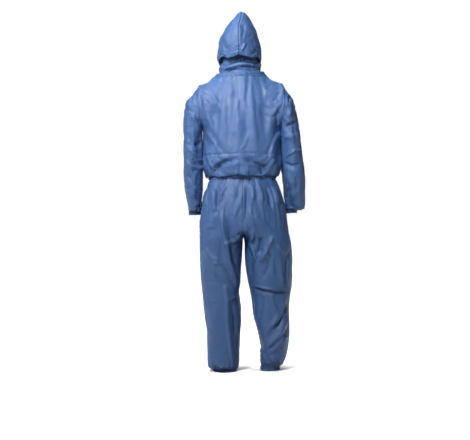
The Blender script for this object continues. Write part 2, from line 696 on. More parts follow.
# ---- the jacket's body ------------------------------------------------------------------------------
def make_trunk():
    rings = level_rings(trunk_table(), np.linspace(0.930, 1.450, 80), 130, power=2.2)
    parts = [tube("trunk", rings, caps=True)]
    for side in (1, -1):
        parts.append(tube("stub", shoulder_rings(side, 90), caps=True))
    cloth = merged("jacket", parts, VOXEL, smooth=8)
    solid = shrunken(cloth, "wearer_trunk", 0.011)
    cut(cloth, (0, 0, NECK_Z), (0, 0, 1))
    cut(cloth, (0, 0, HEM_Z + HEM_H - 0.008), (0, 0, -1))
    for side in (1, -1):
        out = Vector((side * math.cos(ARM_TILT), 0, -math.sin(ARM_TILT)))
        c = Vector((side * ARM_C[0], ARM_C[1], ARM_C[2])) - out * 0.0006
        bm = bmesh.new()
        bm.from_mesh(cloth.data)
        near = [f for f in bm.faces
                if f.calc_center_median().x * side > 0.15 and f.calc_center_median().z > 1.15]
        geom = near + list({e for f in near for e in f.edges}) + list({v for f in near for v in f.verts})
        bmesh.ops.bisect_plane(bm, geom=geom, dist=1e-5, plane_co=c, plane_no=out)
        far = [v for v in bm.verts if (v.co - c).dot(out) > 1e-4
               and ((v.co - c) - (v.co - c).dot(out) * out).length < 0.125 and v.co.z > 1.15]
        bmesh.ops.delete(bm, geom=far, context="VERTS")
        bm.to_mesh(cloth.data)
        bm.free()
        cloth.data.update()
    cut_slot(cloth)
    score(cloth, (0, SIDE_Y, 0), (0, 1, 0))
    score(cloth, (0, 0, LOWER_SEAM_Z), (0, 0, 1), where=lambda c: c.y > SIDE_Y)
    tidy(cloth, 0.002)
    co = coords(cloth)
    pin = np.zeros(len(co))
    pin[co[:, 2] > NECK_Z - 0.003] = 1
    pin[co[:, 2] < HEM_Z + HEM_H - 0.004] = 1
    for side in (1, -1):
        along, radial, c, out = armhole_distance(co, side)
        r = np.linalg.norm(radial, axis=1)
        edge = (np.abs(along) < 0.0012) & (r < 0.120) & (co[:, 2] > 1.15)
        co[edge] = c - out * 0.0006 + radial[edge] / r[edge][:, None] * ARM_R
        pin[edge] = 1
    slot = (np.abs(np.abs(co[:, 0]) - OPENING) < 4e-4) & (co[:, 1] < 0)
    co[slot, 1] = front_y(co[slot, 2]) + 0.0006
    pin[slot] = 1
    set_coords(cloth, co)
    simulate(cloth, pin, [solid], grow=0.04)
    drop(solid)
    cloth = finer(cloth)
    free = rim_weights(cloth)
    ruffle(cloth, 13, 0.14, 0.0014, stretch=(0.8, 0.8, 1.7), where=free)
    ruffle(cloth, 15, 0.05, 0.0004, where=free, sharp=True)
    press(cloth, TRUNK_FOLDS, face=1, only=free, scale=1.2)
    press(cloth, front_folds(TRUNK_FOLDS, 5), face=-1, scale=0.45, only=free)
    co, nr = coords(cloth), normals(cloth)
    groove = np.exp(-((co[:, 2] - LOWER_SEAM_Z) / 0.0048) ** 2) * (co[:, 1] > SIDE_Y)
    co = co - nr * (groove * free * 0.0030)[:, None]
    across = np.abs(co[:, 0])
    crest = smoothstep((across - 0.095) / 0.055) * smoothstep((0.2165 - across) / 0.013)
    co[:, 2] += 0.016 * crest * smoothstep((nr[:, 2] - 0.1) / 0.5) * (co[:, 2] > 1.3)
    set_coords(cloth, co)
    gathers(cloth, (0, -0.01), 60, 0.003, 0.93, 0.955, 4, 0.035, 0.02)
    return roll_under(cloth)


def roll_under(cloth):
    """The jacket blouses over its hem: it hangs past the elastic, then turns in and up to it."""
    co = coords(cloth)
    z = co[:, 2].copy()
    tuck = smoothstep((0.9605 - z) / 0.0105)
    a = np.arctan2((co[:, 1] + 0.012) / 0.1215, co[:, 0] / 0.1655)
    hang = 0.011 + 0.004 * np.sin(7 * a + 1) + 0.002 * np.sin(16 * a)
    co[:, 2] -= hang * smoothstep((0.995 - z) / 0.03) * (1 - tuck)
    pinch = 1 - 0.07 * smoothstep((1.010 - z) / 0.055) * (np.abs(co[:, 0]) > 0.03)
    co[:, 0] *= pinch
    co[:, 1] = (co[:, 1] + 0.012) * pinch - 0.012
    ring = np.stack([0.1655 * np.cos(a), -0.012 + 0.1215 * np.sin(a)], 1)
    slot = (np.abs(co[:, 0]) < 0.03) & (co[:, 1] < 0)
    tuck = np.where(slot, 0, tuck)
    co[:, :2] += (ring - co[:, :2]) * tuck[:, None]
    set_coords(cloth, co)
    return cloth


def cut_slot(cloth):
    """Opens the front between the two panels, where the zip goes."""
    for x in (OPENING, -OPENING):
        score(cloth, (x, 0, 0), (1, 0, 0), where=lambda c: c.y < 0 and abs(c.x) < 0.03)
    bm = bmesh.new()
    bm.from_mesh(cloth.data)
    gone = [f for f in bm.faces if abs(f.calc_center_median().x) < OPENING and f.calc_center_median().y < 0]
    bmesh.ops.delete(bm, geom=gone, context="FACES")
    bm.to_mesh(cloth.data)
    bm.free()
    cloth.data.update()


def armhole_distance(co, side):
    out = np.array([side * math.cos(ARM_TILT), 0, -math.sin(ARM_TILT)])
    c = np.array([side * ARM_C[0], ARM_C[1], ARM_C[2]])
    d = co - c
    along = d @ out
    radial = d - np.outer(along, out)
    return along, radial, c, out


def rim_weights(cloth):
    """0 on the edges that must stay put, 1 away from them."""
    co = coords(cloth)
    free = smoothstep((NECK_Z - co[:, 2]) / 0.02) * smoothstep((co[:, 2] - HEM_Z - HEM_H + 0.008) / 0.012)
    for side in (1, -1):
        along, radial, c, out = armhole_distance(co, side)
        near_ring = np.hypot(np.linalg.norm(radial, axis=1) - ARM_R, along)
        free *= smoothstep(near_ring / 0.018)
    front = (co[:, 1] < -0.05)
    free *= np.where(front, smoothstep((np.abs(co[:, 0]) - OPENING - 0.002) / 0.02), 1.0)
    return free


# ---- sleeves ----------------------------------------------------------------------------------------
SLEEVE_LEFT = [  # inner point (x, z), outer point (x, z), middle y, half depth
    ((0.197, 1.166), (0.269, 1.300), -0.001, 0.092),
    ((0.198, 1.112), (0.287, 1.152), -0.003, 0.082),
    ((0.199, 1.040), (0.292, 1.040), -0.008, 0.074),
    ((0.200, 0.960), (0.292, 0.958), -0.016, 0.070),
    ((0.203, 0.885), (0.286, 0.880), -0.034, 0.064),
    ((0.204, 0.838), (0.278, 0.832), -0.054, 0.057),
    ((0.199, 0.805), (0.270, 0.803), -0.069, 0.047),
]
SLEEVE_RIGHT = [
    ((0.197, 1.166), (0.260, 1.296), -0.001, 0.092),
    ((0.198, 1.112), (0.291, 1.152), -0.003, 0.082),
    ((0.199, 1.040), (0.302, 1.040), -0.008, 0.074),
    ((0.202, 0.960), (0.309, 0.958), -0.016, 0.070),
    ((0.210, 0.885), (0.308, 0.880), -0.034, 0.064),
    ((0.210, 0.838), (0.303, 0.832), -0.054, 0.057),
    ((0.203, 0.805), (0.292, 0.803), -0.069, 0.047),
]


def sleeve_rings(side, n, rows, inset=0.0):
    up = np.array([math.sin(ARM_TILT), 0, math.cos(ARM_TILT)]) * ARM_R
    c = np.array(ARM_C)
    top, bottom = c + up, c - up
    keys = [(bottom[0], bottom[2], top[0], top[2], 0.0, ARM_R)]
    keys += [(i[0], i[1], o[0], o[1], y, d) for i, o, y, d in (SLEEVE_LEFT if side > 0 else SLEEVE_RIGHT)]
    cuff_top = CUFF_C[2] + CUFF_H - 0.003
    keys.append((CUFF_C[0] - CUFF_R, cuff_top, CUFF_C[0] + CUFF_R, cuff_top, CUFF_C[1], CUFF_R))
    keys = np.array(keys)
    mid = np.stack([(keys[:, 0] + keys[:, 2]) / 2, keys[:, 4], (keys[:, 1] + keys[:, 3]) / 2], 1)
    run = np.concatenate([[0], np.cumsum(np.linalg.norm(np.diff(mid, axis=0), axis=1))])
    at = np.linspace(0, run[-1], rows)
    v = curve_through(np.column_stack([run, keys]), at)
    a = around(n)
    rings = []
    for ix, iz, ox, oz, y, d in v:
        m = np.array([(ix + ox) / 2, y, (iz + oz) / 2])
        e = np.array([ox - ix, 0, oz - iz])
        half = np.linalg.norm(e) / 2
        e = e / (2 * half)
        ring = m + np.outer(np.cos(a) * (half - inset), e) + np.outer(np.sin(a) * (d - inset), [0, 1, 0])
        rings.append(ring)
    rings = np.array(rings)
    if side < 0:
        rings[:, :, 0] *= -1
        rings = rings[:, ::-1]
    return rings


def make_sleeve(side):
    name = "left" if side > 0 else "right"
    rows, n = 56, 44
    rings = sleeve_rings(side, n, rows)
    cloth = tube(f"sleeve_{name}", rings)
    solid = tube("arm", sleeve_rings(side, 36, 50, inset=0.010)[2:-2], caps=True)
    pin = np.zeros((rows, n))
    pin[0] = pin[-1] = 1
    simulate(cloth, pin.ravel(), [solid], grow=0.06, bend=1.2)
    drop(solid)
    cloth = finer(cloth, 2)
    co = coords(cloth)
    along, radial, c, out = armhole_distance(co, side)
    free = smoothstep((along - 0.001) / 0.025) * smoothstep((co[:, 2] - CUFF_C[2] - CUFF_H) / 0.012)
    ruffle(cloth, 23 + side, 0.10, 0.0016, stretch=(0.8, 0.8, 1.5), where=free)
    ruffle(cloth, 25 + side, 0.05, 0.0005, where=free, sharp=True)
    folds = [f for f in SLEEVE_FOLDS if f[0][0][0] * side > 0]
    press(cloth, folds, face=1, only=free, scale=1.35)
    other = [([(-p[0], p[1] - 25) for p in pts], w, h * 0.8, -l) for pts, w, h, l in SLEEVE_FOLDS
             if pts[0][0] * side < 0]
    press(cloth, other, face=-1, only=free)
    gathers(cloth, (side * CUFF_C[0], CUFF_C[1]), 26, 0.0022, 0.75, 0.797, 30 + side, 0.04, 0.02)
    co = coords(cloth)
    low = CUFF_C[2] + CUFF_H
    droop = smoothstep((low + 0.045 - co[:, 2]) / 0.035) * smoothstep((co[:, 2] - low + 0.001) / 0.010)
    co[:, 2] -= 0.014 * droop
    nr = normals(cloth)
    cap = smoothstep((along - 0.004) / 0.035) * smoothstep((co[:, 2] - 1.27) / 0.05)
    cap = cap * smoothstep(nr[:, 0] * side / 0.5)
    set_coords(cloth, co + nr * (cap * (0.009 if side > 0 else 0.004))[:, None])
    snap_ring(cloth, side)
    return cloth


def snap_ring(cloth, side):
    co = coords(cloth)
    along, radial, c, out = armhole_distance(co, side)
    r = np.linalg.norm(radial, axis=1)
    edge = (np.abs(along) < 0.0008) & (r < 0.12) & (co[:, 2] > 1.15)
    co[edge] = c + radial[edge] / r[edge][:, None] * ARM_R
    set_coords(cloth, co)


# ---- elastic casings --------------------------------------------------------------------------------
def casing(name, centre, rx, ry, height, count, amount, seed, arc=(0.0, TAU), roll=0.003, inner=0.0035):
    """A gathered hem: a doubled band of cloth, puckered by its elastic, with rounded edges."""
    closed = arc[1] - arc[0] > TAU - 1e-6
    n = count * 8
    a = np.linspace(arc[0], arc[1], n, endpoint=not closed)
    rng = np.random.default_rng(seed)
    profile = [(-inner, 0.10), (-inner * 0.6, 0.02), (0, 0.0), (roll * 0.6, 0.07), (roll, 0.2),
               (roll * 0.6, 0.36), (roll * 0.8, 0.5), (roll * 0.6, 0.66), (roll, 0.82), (roll * 0.5, 0.95),
               (0, 1.0), (-inner * 0.7, 0.98), (-inner, 0.90)]
    phase = [rng.uniform(0, TAU) for _ in range(4)]
    rings = []
    for out, t in profile:
        v = sum(np.sin(int(count * f) * a + p + 1.3 * t * k) for k, (f, p) in
                enumerate(zip((0.82, 1.0, 1.17, 0.55), phase))) / 2.4
        push = out + amount * v * (0.6 + 0.4 * math.sin(math.pi * t))
        wob = 0.0006 * (1 + np.sin(3 * a + phase[0]))
        rings.append(np.stack([centre[0] + (rx + push) * np.cos(a), centre[1] + (ry + push) * np.sin(a),
                               centre[2] + t * height + wob * (1 - t)], 1))
    rings = np.array(rings)
    rows = len(rings)
    obj = new_object(name, rings.reshape(-1, 3), grid_faces(rows, n, wrap=closed))
    return obj


# ---- hood and collar --------------------------------------------------------------------------------
HOOD = [  # height, wearer's left, wearer's right, front, back
    (1.465, 0.096, 0.096, -0.100, 0.100),
    (1.498, 0.101, 0.100, -0.111, 0.115),
    (1.527, 0.109, 0.101, -0.117, 0.126),
    (1.557, 0.111, 0.103, -0.119, 0.131),
    (1.586, 0.106, 0.099, -0.117, 0.133),
    (1.615, 0.100, 0.091, -0.110, 0.132),
    (1.645, 0.088, 0.084, -0.096, 0.126),
    (1.674, 0.068, 0.074, -0.074, 0.115),
    (1.703, 0.043, 0.060, -0.044, 0.100),
    (1.728, 0.024, 0.042, -0.008, 0.084),
    (1.742, 0.013, 0.025, 0.016, 0.070),
    (1.749, 0.004, 0.008, 0.036, 0.052),
]
COLLAR = [  # height, half width, back
    (1.434, 0.121, 0.089),
    (1.450, 0.113, 0.088),
    (1.470, 0.101, 0.088),
    (1.500, 0.097, 0.090),
    (1.560, 0.092, 0.096),
]
HOOD_POWER = 2.05


def rim_height(y, drop=0.0):
    """Where the hood's lower edge runs: a plane that rises towards the nape."""
    return RIM_Z - drop + math.tan(RIM_TILT) * y


def make_hood():
    """Two side panels that meet in a seam from the brow over the crown to the nape."""
    z = np.concatenate([np.linspace(1.466, 1.70, 66), np.linspace(1.703, 1.749, 20)])
    hood = tube("hood", level_rings(HOOD, z, 168, power=HOOD_POWER), caps=True)
    cut(hood, (0, 0, RIM_Z), Vector((0, math.sin(RIM_TILT), -math.cos(RIM_TILT))))
    cut(hood, (0, FACE_Y, 0), (0, -1, 0))
    score(hood, (0, 0, 0), (1, 0, 0))
    tidy(hood, 0.0006)
    hood = finer(hood)
    co, nr = coords(hood), normals(hood)
    up = co @ np.array([0, -math.sin(RIM_TILT), math.cos(RIM_TILT)]) - RIM_Z * math.cos(RIM_TILT)
    back = smoothstep(co[:, 1] / 0.05)
    x = co[:, 0]
    high = smoothstep((co[:, 2] - 1.685) / 0.03) * back
    seam = (0.0034 * np.exp(-(np.abs(x) / 0.012) ** 1.6)
            - (0.0050 + 0.0035 * high) * np.exp(-(x / 0.0028) ** 2))
    hem = 0.0012 * (1 - smoothstep((up - 0.014) / 0.003)) - 0.0014 * np.exp(-((up - 0.0165) / 0.0018) ** 2)
    hem -= 0.004 * (1 - smoothstep(up / 0.014)) * back
    seam *= 1 - smoothstep((co[:, 2] - 1.732) / 0.012)
    co = co + nr * (seam + hem)[:, None]
    wide = np.abs(x)
    low = 1 - smoothstep(up / 0.08)
    sag = 0.031 * (1 - smoothstep((wide - 0.055) / 0.050)) - 0.006 * np.exp(-(wide / 0.018) ** 2)
    co[:, 2] -= sag * low * back
    co[:, 0] += (0.0055 - 0.015 * smoothstep((co[:, 2] - 1.66) / 0.07)) * np.exp(-(wide / 0.035) ** 2) * back
    set_coords(hood, co)
    free = smoothstep(up / 0.01) * smoothstep((co[:, 1] - FACE_Y) / 0.012)
    ruffle(hood, 41, 0.12, 0.0026, stretch=(0.8, 0.8, 1.6), where=free)
    ruffle(hood, 43, 0.035, 0.0005, where=free, sharp=True)
    press(hood, HOOD_FOLDS, face=1, scale=1.5)
    co, nr = coords(hood), normals(hood)
    face = 1 - smoothstep((co[:, 1] - FACE_Y) / 0.05)
    a = np.arctan2(co[:, 2] - 1.56, co[:, 0])
    pull = sum(np.sin(n * a + p) for n, p in ((41, 0.3), (55, 1.9), (68, 4.0))) / 2.2
    set_coords(hood, co + nr * (face * pull * 0.0016 * smoothstep((co[:, 1] - FACE_Y) / 0.004))[:, None])
    return hood


def collar_top(y):
    """The collar's upper edge: it follows the hood's edge at the front and has slumped at the back."""
    return rim_height(y, 0.010) - 0.034 * smoothstep((y - 0.01) / 0.07)


def make_collar(trunk_tree):
    """A standing band round the neck, slumped into folds, open at the zip."""
    n, rows = 260, 40
    verts = []
    for t in np.linspace(0, 1, rows):
        z_front = 1.434 + (collar_top(-0.094) - 1.434) * t
        gap = math.asin(OPENING / curve_through(COLLAR, np.array([z_front]))[0][0])
        a = np.linspace(-math.pi / 2 + gap, 1.5 * math.pi - gap, n)
        y = 0.092 * np.sin(a)
        for _ in range(3):
            z = 1.434 + (collar_top(y) - 1.434) * t
            half, back = curve_through(COLLAR, z).T
            mid, hy = (front_y(z) + back) / 2, (back - front_y(z)) / 2
            y = mid + hy * np.sin(a)
        verts.append(np.stack([half * np.cos(a), y, z], 1))
    verts = np.array(verts)
    foot = np.array([np.array(trunk_tree.find_nearest(Vector(p))[0]) for p in verts[0]])
    outward = np.stack([np.cos(a), np.sin(a), 0 * a], 1)
    sides = smoothstep((np.abs(verts[0, :, 0]) - 0.012) / 0.03)
    sides = np.where(verts[0, :, 1] < 0, sides, 1.0)
    step = (foot + outward * 0.0016 - verts[0]) * sides[:, None]
    for k, t in enumerate(np.linspace(0, 1, rows)):
        verts[k] += step * (1 - smoothstep(np.array([t / 0.4])))[0]
    collar = facing_out(new_object("collar_cloth", verts.reshape(-1, 3), grid_faces(rows, n, wrap=False)))
    co = coords(collar)
    t = np.repeat(np.linspace(0, 1, rows), n)
    front = np.where(co[:, 1] < 0, smoothstep((np.abs(co[:, 0]) - OPENING) / 0.025), 1.0)
    slump = (0.0042 * np.sin(t * 9 + 1.2 * np.sin(co[:, 0] * 22) + 0.6)
             + 0.0024 * np.sin(t * 17 + co[:, 0] * 30))
    slump *= smoothstep((t - 0.05) / 0.2) * smoothstep((1.05 - t) / 0.1) * front
    set_coords(collar, co + normals(collar) * slump[:, None])
    loose = smoothstep((t - 0.05) / 0.2) * front
    ruffle(collar, 51, 0.05, 0.0015, stretch=(2.0, 1, 0.8), where=loose, sharp=True)
    press(collar, COLLAR_FOLDS, face=1, scale=1.7)
    return collar


def make_nape():
    """The strip of cloth at the nape that joins the hood to the collar."""
    n, rows = 110, 16
    a = np.linspace(math.radians(-6), math.radians(186), n)
    low = np.stack([0.090 * np.cos(a), 0.074 * np.sin(a), collar_top(0.078 * np.sin(a)) - 0.010], 1)
    high = np.stack([0.096 * np.cos(a), 0.118 * np.sin(a), rim_height(0.118 * np.sin(a)) + 0.052], 1)
    out = np.stack([np.cos(a), np.sin(a), 0 * a], 1)
    verts = []
    for t in np.linspace(0, 1, rows):
        sag = math.sin(math.pi * t) * (-0.006 - 0.026 * np.sin(a) ** 4 + 0.0006 * np.sin(a * 46))
        verts.append(low + (high - low) * t + out * sag[:, None])
    return new_object("nape_strip", np.array(verts).reshape(-1, 3), grid_faces(rows, n, wrap=False))


def make_face_hem():
    """The gathered hem round the face opening, along the hood's front edge."""
    z = np.linspace(rim_height(FACE_Y) + 0.0005, 1.70, 500)
    left, right, front, back = curve_through(HOOD, z).T
    mid, hy = (front + back) / 2, (back - front) / 2
    k = 1 - (np.abs(FACE_Y - mid) / hy) ** HOOD_POWER
    k, z, left, right = k[k > 0] ** (1 / HOOD_POWER), z[k > 0], left[k > 0], right[k > 0]
    path = np.concatenate([np.stack([left * k, z], 1), np.stack([-right * k, z], 1)[::-1]])
    run = np.concatenate([[0], np.cumsum(np.linalg.norm(np.diff(path, axis=0), axis=1))])
    at = np.linspace(0, run[-1], 520)
    path = np.stack([np.interp(at, run, path[:, 0]), np.interp(at, run, path[:, 1])], 1)
    for _ in range(12):
        path[1:-1] = (path[:-2] + 2 * path[1:-1] + path[2:]) / 4
    tangent = np.gradient(path, axis=0)
    tangent /= np.linalg.norm(tangent, axis=1)[:, None]
    out = np.stack([tangent[:, 1], -tangent[:, 0]], 1)
    b = np.arange(14) / 14 * TAU
    rings = []
    for p, o, s in zip(path, out, at):
        pucker = 0.0009 * math.sin(s * 900 + 1.3) + 0.0006 * math.sin(s * 1430 + 0.4)
        off = (0.0021 + 0.4 * pucker) * np.sin(b) + 0.7 * pucker - 0.0021 - 0.002 * (1 - np.cos(b - math.pi))
        depth = FACE_Y - 0.0052 + 0.0066 * np.cos(b)
        rings.append(np.stack([p[0] + o[0] * off, depth, p[1] + o[1] * off], 1))
    return tube("hood_face_hem", np.array(rings), caps=True)


# ---- zip, pocket and stitching -----------------------------------------------------------------------
def strip(name, xs, depth, z0, z1, thick, rows=160, wavy=0.0):
    """A flat tape down the front that follows the zip line, depth behind it."""
    verts = []
    for z in np.linspace(z0, z1, rows):
        for x in xs:
            side = abs(x - xs[0]) / abs(xs[-1] - xs[0])
            verts.append((x, front_y(z) + depth + wavy * side * math.sin(z * 120 + 2 * math.sin(z * 31)), z))
    obj = new_object(name, verts, grid_faces(rows, len(xs), wrap=False))
    return thickened(obj, thick)


def thickened(obj, thick):
    m = obj.modifiers.new("thick", "SOLIDIFY")
    m.thickness = thick
    m.offset = 0
    b = obj.modifiers.new("edge", "BEVEL")
    b.width = thick * 0.3
    b.segments = 2
    b.limit_method = "ANGLE"
    return evaluated(obj)


def surface(obj):
    bm = bmesh.new()
    bm.from_mesh(obj.data)
    tree = BVHTree.FromBMesh(bm)
    bm.free()
    return tree


def on_cloth(tree, x, z, face):
    """Where a line along Y meets the cloth from behind (face 1) or in front (face -1), and its normal."""
    hit, normal, _, _ = tree.ray_cast(Vector((x, 0.5 * face, z)), Vector((0, -face, 0)))
    if hit is None:
        return None
    if normal.y * face < 0:
        normal = -normal
    return np.array(hit), np.array(normal)


def patch(name, tree, x0, x1, z0, z1, lift, thick, nx=60, nz=70, corner=0.0, bulge=0.0, seed=1):
    """A piece of cloth laid on the jacket's front."""
    verts = []
    for v in np.linspace(0, 1, nz):
        for u in np.linspace(0, 1, nx):
            z = z0 + (z1 - z0) * v
            cutx = corner * max(0.0, 1 - (z - z0) / 0.016)
            x = min(max(x0 + (x1 - x0) * u, x0 + cutx), x1 - cutx)
            p, n = on_cloth(tree, x, z, -1)
            rim = min(u, 1 - u, v, 1 - v)
            soft = bulge * min(1.0, rim / 0.25) ** 0.7
            verts.append(p + np.array([0, -1, 0]) * (lift + soft))
    grid = np.array(verts).reshape(nz, nx, 3)
    for _ in range(8):
        grid[1:-1, 1:-1] = (grid[1:-1, 1:-1] * 2 + grid[:-2, 1:-1] + grid[2:, 1:-1] + grid[1:-1, :-2]
                            + grid[1:-1, 2:]) / 6
    obj = new_object(name, grid.reshape(-1, 3), grid_faces(nz, nx, wrap=False))
    ruffle(obj, seed, 0.04, 0.0004)
    return thickened(obj, thick)


def stitches(name, rows, length=0.0030, gap=0.0016, wide=0.0007):
    """Short raised threads along rows, each row a list of (point, normal) pairs on the cloth."""
    verts, faces = [], []
    for row in rows:
        row = [r for r in row if r is not None]
        if len(row) < 3:
            continue
        p, n = np.array([r[0] for r in row]), np.array([r[1] for r in row])
        run = np.concatenate([[0], np.cumsum(np.linalg.norm(np.diff(p, axis=0), axis=1))])
        start = np.arange(0, run[-1] - length, length + gap)
        ends = [np.stack([np.interp(start + d, run, q[:, k]) for k in range(3)], 1)
                for d, q in ((0, p), (length, p), (length / 2, n))]
        for a, b, m in zip(*ends):
            d = b - a
            if not 1e-6 < np.linalg.norm(d) < 2 * length:
                continue
            m = m / np.linalg.norm(m)
            side = np.cross(d, m)
            side *= wide / np.linalg.norm(side)
            top = (a + b) / 2 + m * wide * 1.2
            sunk = m * wide * 0.4
            k = len(verts)
            verts += [a - sunk, b - sunk, top, (a + b) / 2 + side - sunk, (a + b) / 2 - side - sunk]
            faces += [(k, k + 3, k + 2), (k + 3, k + 1, k + 2), (k + 1, k + 4, k + 2), (k + 4, k, k + 2)]
    return new_object(name, verts, faces)


def line(tree, points, face, n=90):
    """A row on the cloth through (x, z) points."""
    row = []
    for a, b in zip(points[:-1], points[1:]):
        row += [on_cloth(tree, a[0] + (b[0] - a[0]) * t, a[1] + (b[1] - a[1]) * t, face)
                for t in np.linspace(0, 1, n)]
    return row


def nearest_row(tree, points):
    row = []
    for p in points:
        hit, normal, _, _ = tree.find_nearest(Vector(p))
        row.append((np.array(hit), np.array(normal)))
    return row


def armhole_row(side, inside, n=150):
    a = np.linspace(0, TAU, n)
    out = np.array([side * math.cos(ARM_TILT), 0, -math.sin(ARM_TILT)])
    up = np.array([side * math.sin(ARM_TILT), 0, math.cos(ARM_TILT)])
    c = np.array([side * ARM_C[0], ARM_C[1], ARM_C[2]]) - out * inside
    return c + ARM_R * (np.outer(np.cos(a), up) + np.outer(np.sin(a), [0, 1, 0]))


def ring_points(centre, rx, ry, z, n=160, start=0.0, end=TAU):
    a = np.linspace(start, end, n)
    return np.stack([centre[0] + rx * np.cos(a), centre[1] + ry * np.sin(a), np.full(n, z)], 1)


# ---- materials --------------------------------------------------------------------------------------
class Paint:
    """Builds one procedural material."""

    def __init__(self, name, rough, spec=0.3, metal=0.0):
        self.mat = bpy.data.materials.new(name)
        self.mat.use_nodes = True
        self.tree = self.mat.node_tree
        self.shader = self.tree.nodes["Principled BSDF"]
        self.shader.inputs["Roughness"].default_value = rough
        self.shader.inputs["Specular IOR Level"].default_value = spec
        self.shader.inputs["Metallic"].default_value = metal
        where = self.node("ShaderNodeTexCoord")
        self.at = where.outputs["Object"]

    def node(self, kind, **values):
        n = self.tree.nodes.new(kind)
        for k, v in values.items():
            setattr(n, k, v)
        return n

    def join(self, a, b):
        self.tree.links.new(a, b)

    def sheen(self, weight, rough, tint):
        self.shader.inputs["Sheen Weight"].default_value = weight
        self.shader.inputs["Sheen Roughness"].default_value = rough
        self.shader.inputs["Sheen Tint"].default_value = (*tint, 1)

    def noise(self, scale, detail=4, rough=0.55, twist=0.0, stretch=(1, 1, 1)):
        m = self.node("ShaderNodeMapping")
        m.inputs["Scale"].default_value = stretch
        self.join(self.at, m.inputs["Vector"])
        n = self.node("ShaderNodeTexNoise")
        self.join(m.outputs[0], n.inputs["Vector"])
        n.inputs["Scale"].default_value = scale
        n.inputs["Detail"].default_value = detail
        n.inputs["Roughness"].default_value = rough
        n.inputs["Distortion"].default_value = twist
        return n.outputs["Fac"]

    def spread(self, value, lo, hi, out_lo=0.0, out_hi=1.0):
        m = self.node("ShaderNodeMapRange")
        self.join(value, m.inputs["Value"])
        for k, v in zip(("From Min", "From Max", "To Min", "To Max"), (lo, hi, out_lo, out_hi)):
            m.inputs[k].default_value = v
        return m.outputs[0]

    def math(self, op, a, b):
        m = self.node("ShaderNodeMath", operation=op)
        for i, v in enumerate((a, b)):
            if isinstance(v, (int, float)):
                m.inputs[i].default_value = v
            else:
                self.join(v, m.inputs[i])
        return m.outputs[0]

    def mix(self, fac, a, b, how="MIX"):
        m = self.node("ShaderNodeMix", data_type="RGBA", blend_type=how)
        sockets = [s for s in m.inputs if s.type == "RGBA"]
        for s, v in zip([m.inputs[0]] + sockets, (fac, a, b)):
            if isinstance(v, (int, float)):
                s.default_value = v
            elif isinstance(v, tuple):
                s.default_value = (*v, 1)
            else:
                self.join(v, s)
        return [s for s in m.outputs if s.type == "RGBA"][0]

    def threads(self, pitch, slant=0.0):
        """Plain weave: warp and weft ridges that pass over and under each other."""
        sep = self.node("ShaderNodeSeparateXYZ")
        self.join(self.at, sep.inputs[0])
        u = self.math("ADD", sep.outputs[0], sep.outputs[1])
        v = self.math("ADD", sep.outputs[2], self.math("MULTIPLY", u, slant))
        k = math.pi / pitch
        su, sv = (self.math("SINE", self.math("MULTIPLY", w, k), 0) for w in (u, v))
        over = self.math("MULTIPLY", su, sv)
        return self.spread(over, -1, 1)

    def bump(self, *layers):
        """Each layer is (height, strength, distance)."""
        last = None
        for height, strength, distance in layers:
            b = self.node("ShaderNodeBump")
            b.inputs["Strength"].default_value = strength
            b.inputs["Distance"].default_value = distance
            self.join(height, b.inputs["Height"])
            if last is not None:
                self.join(last, b.inputs["Normal"])
            last = b.outputs[0]
        self.join(last, self.shader.inputs["Normal"])

    def colour(self, socket):
        self.join(socket, self.shader.inputs["Base Color"])

    def roughness(self, socket):
        self.join(socket, self.shader.inputs["Roughness"])


def shade(rgb, k):
    return tuple(min(1.0, c * k) for c in rgb)


def cloth_paint(name, rgb, pitch=0.00052, sheen=0.12, crease=0.28, fade=0.10):
    """Light cotton and polyester poplin that has been worn and washed a few times."""
    p = Paint(name, 0.55, 0.5)
    p.sheen(sheen, 0.4, shade(rgb, 1.9))
    broad = p.spread(p.noise(3.2, 3), 0.32, 0.68)
    small = p.spread(p.noise(46, 4, 0.6, 0.4), 0.3, 0.7)
    fibre = p.spread(p.noise(1500, 2, 0.7, stretch=(1, 1, 0.25)), 0.25, 0.75)
    col = p.mix(broad, shade(rgb, 1 - fade), shade(rgb, 1 + fade * 0.8))
    col = p.mix(p.math("MULTIPLY", small, 0.25), col, shade(rgb, 1.16))
    col = p.mix(p.math("MULTIPLY", fibre, 0.18), col, shade(rgb, 0.78))
    weave = p.threads(pitch)
    col = p.mix(p.math("MULTIPLY", weave, 0.14), col, shade(rgb, 1.3))
    p.colour(col)
    p.roughness(p.spread(small, 0, 1, 0.48, 0.63))
    wrinkle = p.noise(34, 5, 0.62, 1.1, stretch=(1, 1, 0.6))
    p.bump((p.noise(9, 3, 0.5, 0.8), crease * 0.8, 0.008), (wrinkle, crease, 0.0021), (weave, 0.35, 0.00018))
    return p.mat


def tape_paint(name, rgb, pitch=0.0007, rough=0.75):
    """A narrow woven tape, with a slanting twill line."""
    p = Paint(name, rough, 0.3)
    p.sheen(0.15, 0.4, shade(rgb, 2.0))
    weave = p.threads(pitch, slant=1.0)
    worn = p.spread(p.noise(60, 4), 0.3, 0.7)
    col = p.mix(weave, shade(rgb, 0.75), shade(rgb, 1.25))
    col = p.mix(p.math("MULTIPLY", worn, 0.3), col, shade(rgb, 1.5))
    p.colour(col)
    p.roughness(p.spread(worn, 0, 1, rough - 0.08, rough + 0.1))
    p.bump((weave, 0.5, 0.0002), (worn, 0.2, 0.0006))
    return p.mat


